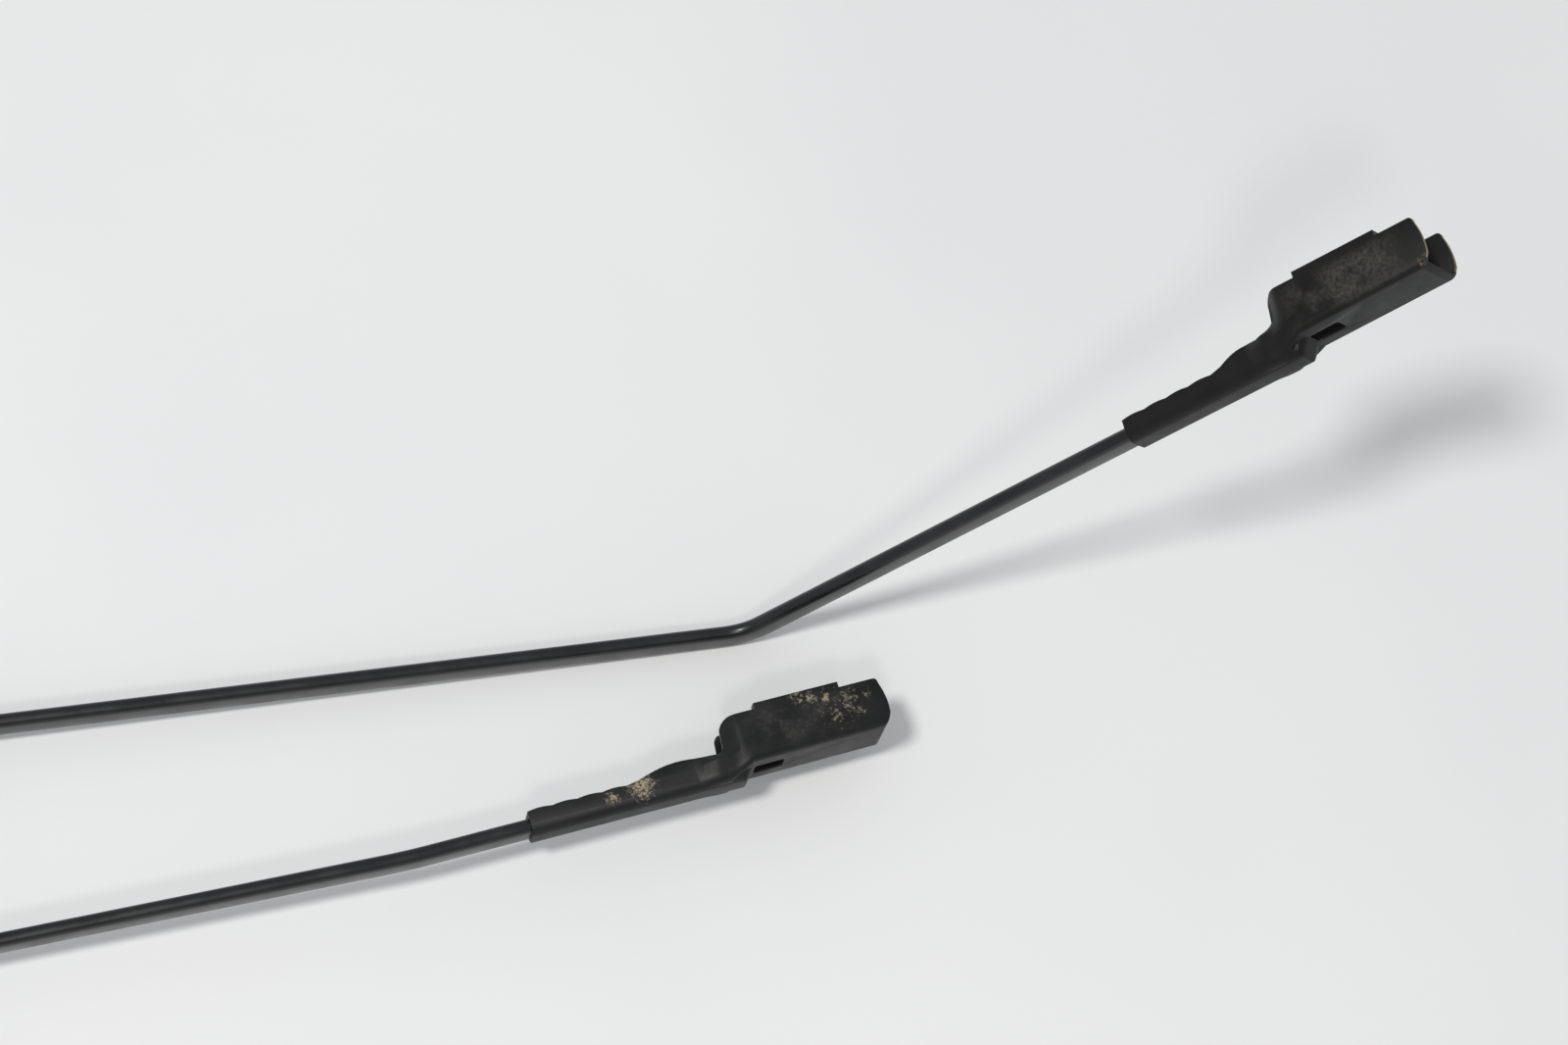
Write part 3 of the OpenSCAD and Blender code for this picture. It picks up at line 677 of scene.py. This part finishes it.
# %% Bare cut edges at the long arm's tip
EDGE_BACK, EDGE_UP = -9, 2.5
holder = bpy.data.objects["long_holder"]
holder.data.materials.append(EDGE_METAL)
forward = TIP["long"].to_3x3().col[0].normalized()
back_to_tip = TIP["long"].inverted()
bare = 0
for face in holder.data.polygons:
    spot = back_to_tip @ face.center
    at_tip = spot.x > EDGE_BACK and spot.y > SIZES["long"]["step"] + EDGE_UP
    if at_tip and face.normal.dot(forward) > 0.75:
        face.material_index = 1
        bare += 1
print("bare edge faces:", bare)

# %% [markdown]
# ## The retainers
# The retainer is a deeper channel that narrows to a throat round the bar. Its cheeks are
# round about the hinge, so that they clear the head as it swings. It is pressed like the
# holder, so it is made like the holder: a folded outside, a folded room inside, an outline
# from the side, and then the drilled holes.

# %% Build the retainers
CHEEK_R, CHEEK_W, WALL = 11.5, 24.0, 1.8
THROAT_X, MOUTH_X, THROAT_W, THROAT_H = 165.0, 192.0, ROD_W + 3.6, ROD_T + 3.6
SLOPE_X, CHEEK_X = THROAT_X - 15, HINGE_X + 20


def retainer(arm):
    line = [
        (0, -CHEEK_R), (CHEEK_X, -CHEEK_R), (SLOPE_X, -THROAT_H / 2 - 1.2),
        (THROAT_X, -THROAT_H / 2), (240, -THROAT_H / 2)]
    wide = [
        (0, CHEEK_W / 2), (CHEEK_X, CHEEK_W / 2), (SLOPE_X, THROAT_W / 2 + 1.6),
        (THROAT_X, THROAT_W / 2), (240, THROAT_W / 2)]
    shape = (
        lambda x: along(line, x), lambda x, y: along(wide, x),
        lambda x: 3.2 - 1.2 * ease((x - 100) / 60))
    stations = [
        20, CHEEK_X - 4, CHEEK_X, CHEEK_X + 6, 100, 130, SLOPE_X, SLOPE_X + 5, THROAT_X, MOUTH_X]
    body = folded(arm + "_cover", stations, *shape, 0, 30)
    outline = arc(HINGE_X, 0, CHEEK_R, 100, 260, 28) + [(HINGE_X, -20), (MOUTH_X, -20)]
    outline += [
        (MOUTH_X, THROAT_H / 2), (THROAT_X, THROAT_H / 2), (SLOPE_X, THROAT_H / 2 + 2.2),
        (HINGE_X + 32, CHEEK_R - 1)]
    cut(body, prism("outline", outline, -20, 20), "INTERSECT")
    cut(body, folded("room", [HINGE_X + 2] + stations[1:-1], *shape, WALL, 40))
    inside = CHEEK_W / 2 - WALL
    cut(body, box("tongue room", (0, -30, -inside), (HINGE_X + 2.01, 40, inside)))
    seat = (THROAT_X - 8, MOUTH_X + 5)
    cut(body, loft("seat", [[(x, y, z) for y, z in bar_ring(0.05)] for x in seat]))
    cut(body, disc("pin hole", (HINGE_X, 0), (PIN_HOLE_R,) * 2, (-20, 20), "Z", 48))
    cut(body, disc("anchor hole", (ANCHOR_X, ANCHOR_Y), (ANCHOR_HOLE_R,) * 2, (-20, 20), "Z", 48))
    for x in RIVETS_X:
        cut(body, disc("rivet hole", (x, 0), (RIVET_HOLE_R,) * 2, (-12, 12), "Y", 24))
    return rounded(body, 0.4)


for arm in ARMS:
    lay(retainer(arm), ARM[arm], RETAINER_PAINT, arm + "_arm", arm + "_retainer")

# %% [markdown]
# ## The springs
# A tension spring pulls the arm onto the glass, between the link and a pin in the retainer.
# A screw modifier would draw the coil alone. The coil and both hooks are one wire, so here
# they are one line of points with a round ring carried along it without twisting.

# %% Sizes and place of the springs
WIRE_R, SPRING_R, TURNS = 0.95, 5.5, 15
lean = math.radians(LINK_ANGLE)
link = Vector((HINGE_X + LINK_ARM * math.cos(lean), LINK_ARM * math.sin(lean), 0))
pull = math.degrees(math.atan2(ANCHOR_Y - link.y, ANCHOR_X - link.x))
PULL = Matrix.Translation(link) @ turned(pull, "Z")
SPAN = (Vector((ANCHOR_X, ANCHOR_Y, 0)) - link).length
print("cross pin to anchor pin:", round(SPAN, 2), "mm")

# %% Helpers for wire


def smooth_line(points, steps=5):
    """A soft curve through all the points."""
    out = []
    p = [Vector(q) for q in points]
    for i in range(len(p) - 1):
        a, b, c, d = p[max(i - 1, 0)], p[i], p[i + 1], p[min(i + 2, len(p) - 1)]
        for k in range(steps):
            t = k / steps
            bow = (2 * a - 5 * b + 4 * c - d) * t * t
            out.append(0.5 * (2 * b + (c - a) * t + bow + (3 * b - a - 3 * c + d) * t ** 3))
    return out + [p[-1]]


def wire(name, line, r, sides=10):
    normal, rings = None, []
    for i, p in enumerate(line):
        ahead = (line[min(i + 1, len(line) - 1)] - line[max(i - 1, 0)]).normalized()
        normal = ahead.orthogonal() if normal is None else normal - ahead * normal.dot(ahead)
        normal.normalize()
        other = ahead.cross(normal)
        turn = [2 * math.pi * k / sides for k in range(sides)]
        rings.append([p + r * (normal * math.cos(a) + other * math.sin(a)) for a in turn])
    return loft(name, rings)


print("the wire is", 2 * WIRE_R, "mm thick")

# %% Sweep the springs


def spring_line():
    """Hook through the link's hole, coil, hook round the anchor pin."""
    coil = SPRING_R - WIRE_R
    over, hole = 1.5 + WIRE_R + 0.4, LINK_L + 0.6
    first, last, hook = LINK_L + 5.8, SPAN - 7.5, ANCHOR_R + WIRE_R + 0.25
    near = [
        (hole + 2.6, 0, -over - 0.5), (hole + 1.1, 0, -over - 0.1), (hole + 0.3, 0, -over + 0.7),
        (hole, 0, -over + 1.7), (hole, 0, over - 1.7), (hole + 0.3, 0, over - 0.7),
        (hole + 1.1, 0, over + 0.1), (hole + 2.6, 0, over + 0.8), (first - 1.1, 0.2, coil - 0.3)]
    steps = TURNS * 12
    turns = []
    for i in range(steps + 1):
        angle = math.radians(90 + (360 * TURNS - 90) * i / steps)
        turns.append((first + (last - first) * i / steps, coil * math.cos(angle), coil * math.sin(angle)))
    far = [(last + 0.8, coil, 1), (last + 2.4, coil - 0.1, 1.3), (last + 4.2, coil - 0.4, 0.7)]
    far += [(x, y, 0) for x, y in arc(SPAN, 0, hook, 100, -75, 7)]
    return smooth_line(near + turns + far, 2)


for arm in ARMS:
    coil = wire(arm + "_coil", spring_line(), WIRE_R)
    lay(coil, ARM[arm] @ PULL, SPRING_STEEL, arm + "_arm", arm + "_spring")

# %% [markdown]
# ## The heads
# The head is a casting, so its edges are round and its skin is a little rough. A caster's
# pattern is built up from simple solids, and so is this one: the body, the boss round the
# spindle and the tongue are joined, and then the slot and the holes are cut.

# %% Shape the heads
BOSS_R, GLASS_Y, NUT_Y = 13.0, 14.0, -9.0
TONGUE_HALF, TONGUE_R, SLOT_HALF = CHEEK_W / 2 - WALL - 0.8, CHEEK_R - WALL - 0.5, 3.2
RELIEF, SLOT_BACK, FAR = CHEEK_R + 0.6, 8.4, 30


def head(arm):
    side = [
        (-4, NUT_Y), (BOSS_R + 2, NUT_Y), (HINGE_X - 6, NUT_Y - 1.5), (HINGE_X - 3, -8),
        (HINGE_X, 1), (HINGE_X - 5, 12.2), (HINGE_X - 12, GLASS_Y - 1), (-4, GLASS_Y - 1)]
    body = prism(arm + "_casting", side, -BOSS_R, BOSS_R)
    plan = [
        (-6, BOSS_R - 2), (0, BOSS_R - 0.6), (HINGE_X - RELIEF - 1, BOSS_R - 0.6),
        (HINGE_X - RELIEF, TONGUE_HALF), (HINGE_X + 20, TONGUE_HALF)]
    plan += [(x, -z) for x, z in reversed(plan)]
    cut(body, loft("plan", [[(x, y, z) for x, z in plan] for y in (-FAR, FAR)]), "INTERSECT")
    cut(body, box("relief", (HINGE_X - RELIEF, -2 * FAR, -FAR), (HINGE_X + 40, 1, FAR)))
    radii = (BOSS_R - 0.8, BOSS_R, BOSS_R, BOSS_R - 0.8)
    levels = (NUT_Y, NUT_Y + 0.8, GLASS_Y - 0.8, GLASS_Y)
    cut(body, disc("boss", (0, 0), radii, levels, "Y", 72), "UNION")
    across = (-TONGUE_HALF, TONGUE_HALF)
    cut(body, disc("tongue", (HINGE_X, 0), (TONGUE_R,) * 2, across, "Z", 72), "UNION")
    root = (HINGE_X - 9, 1, -TONGUE_HALF), (HINGE_X, TONGUE_R, TONGUE_HALF)
    cut(body, box("root", *root), "UNION")
    cut(body, box("slot", (HINGE_X - SLOT_BACK, -40, -SLOT_HALF), (HINGE_X + 50, 40, SLOT_HALF)))
    for low in (TONGUE_HALF, -TONGUE_HALF - FAR):
        cut(body, disc("cheek room", (HINGE_X, 0), (CHEEK_R + 0.8,) * 2, (low, low + FAR), "Z", 96))
    cut(body, disc("bush hole", (HINGE_X, 0), (BUSH_HOLE_R,) * 2, (-FAR, FAR), "Z", 48))
    cut(body, disc("link hole", (link.x, link.y), (LINK_HOLE_R,) * 2, (-FAR, FAR), "Z", 32))
    # From the nut's side: the cap's seat, the bore, and the taper towards the glass
    radii = (9, 9, SPINDLE_BORE_R, SPINDLE_BORE_R, 6.0)
    cut(body, disc("spindle", (0, 0), radii, (-FAR, -6, -6, 2, GLASS_Y + 0.01), "Y", 64))
    return rounded(body, 0.45, 3)


print("the tongue is", round(2 * TONGUE_HALF, 2), "mm wide")

# %% [markdown]
# ## The nut caps
# A push-on plastic cap covers the spindle's nut. It is a turned shape, so it is drawn as a
# stack of circles: the domed shell, the plug that grips the seat, and the room for the nut.

# %% Build the nut caps and lay both pieces on each arm


def cap(arm):
    foot = NUT_Y - 0.15
    radii = (11.4, 11.4, 11.1, 10.4, 9.6, 9.6)
    levels = (foot, foot - 3.3, foot - 4.2, foot - 4.8, foot - 5, foot - 5)
    shell = disc(arm + "_cap_shell", (0, 0), radii, levels, "Y", 72)
    cut(shell, disc("plug", (0, 0), (8.85, 8.85), (NUT_Y + 2.8, NUT_Y - 1), "Y", 64), "UNION")
    cut(shell, disc("room", (0, 0), (7.45, 7.45), (NUT_Y + 10, foot - 3.6), "Y", 64))
    return rounded(shell, 0.25)


for arm in ARMS:
    lay(head(arm), ARM[arm], HEAD_PAINT, arm + "_head", arm + "_head")
    lay(cap(arm), ARM[arm], CAP_PLASTIC, arm + "_cap", arm + "_nut_cap")

# %% [markdown]
# ## The small parts
# Pins, rivets, washers, bushes and links could be drawn again, but they have the right
# shape already. They keep the part's own meshes and only get a finish: bright steel where
# they are rubbed, brass for the bushes and ivory plastic for the washers.

# %% Give the small parts their finish
FINISHES = {
    "rod_rivets": STEEL, "anchor_pin": STEEL, "hinge_pins": STEEL, "spring_link": STEEL,
    "link_pin": STEEL, "hinge_washers": WASHER_PLASTIC, "hinge_bushes": BRASS,
    "rod": ROD_PAINT, "retainer": RETAINER_PAINT, "head": HEAD_PAINT,
    "nut_cap": CAP_PLASTIC, "spring": SPRING_STEEL,
}
for name, node in frame["nodes"].items():
    arm, kind = name.split("_", 1)
    finish = FINISHES.get(kind, HOLDER_PAINT[arm])
    for slot in node.material_slots:
        slot.material = finish
print("gave", len(frame["nodes"]), "nodes of the part a finish")

# %% [markdown]
# ## The table and the lights
# A pale table, one large lamp from the left and above, a weak warm one beside the camera,
# and a pale room round it all. Black paint shows its shape only by what it reflects, so the
# room is even and the table is bright. The lamp's size sets how soft the shadows are.

# %% Table
ground = cad_box[0][2]
TABLE_REACH = 6.0


def table_paper():
    """Pale matt paper with a broad, faint unevenness."""
    f = Finish("pale table")
    tone = f.mix(f.ramp(f.noise(f.place(), 3), 0.3, 0.7), (0.79, 0.8, 0.81), (0.83, 0.83, 0.835))
    f.bump(f.noise(f.place(), 300, 3), 0.05, 0.0001)
    return f.finish(tone, 0.6)


sides = ((-1, -1), (1, -1), (1, 1), (-1, 1))
corners = [(x * TABLE_REACH, y * TABLE_REACH, ground) for x, y in sides]
table = solid("table", corners, [(0, 1, 2, 3)])
table.data.materials.append(table_paper())
print("table at", round(ground, 5))

# %% Lights


def lamp(name, spot, target, size, power, color):
    light = bpy.data.lights.new(name, "AREA")
    light.shape, light.size, light.energy, light.color = "DISK", size, power, color
    obj = bpy.data.objects.new(name, light)
    obj.location = spot
    obj.rotation_euler = (target - spot).to_track_quat("-Z", "Y").to_euler()
    bpy.context.scene.collection.objects.link(obj)


middle = Vector((0.36, 0.02, ground))
above, beside = Vector((-0.4, -0.18, 1)) * 3, Vector((-0.12, -0.62, 1)) * 2.2
lamp("main lamp", middle + above, middle, size=0.5, power=57, color=(1.0, 0.985, 0.955))
lamp("camera lamp", middle + beside, middle, size=0.3, power=8, color=(1.0, 0.93, 0.88))

# %% The room
world = bpy.data.worlds.new("pale room")
world.use_nodes = True
sky = world.node_tree.nodes["Background"]
sky.inputs["Color"].default_value = (0.93, 0.97, 1.0, 1)
sky.inputs["Strength"].default_value = 0.45
scene = bpy.context.scene
scene.world = world
scene.view_settings.view_transform = "Standard"
print("room strength:", sky.inputs["Strength"].default_value)

# %% [markdown]
# ## The camera
# It stands over the arms and looks down steeply, with the hinges outside its view on the
# left. Two directions fix it: where the picture's right side points, and where up is.

# %% Camera
lens = bpy.data.cameras.new("camera")
lens.lens, lens.sensor_width = 55.0, 22.3
camera = bpy.data.objects.new("camera", lens)
right = Vector((0.98869, 0.0, 0.14995))
up = Vector((-0.05837, 0.92112, 0.38488))
view = Matrix((right, up, right.cross(up))).transposed().to_4x4()
view.translation = Vector((0.26563, -0.32746, 1.0293))
camera.matrix_world = view
scene.collection.objects.link(camera)
scene.camera = camera
print("camera at", [round(v, 3) for v in view.translation])
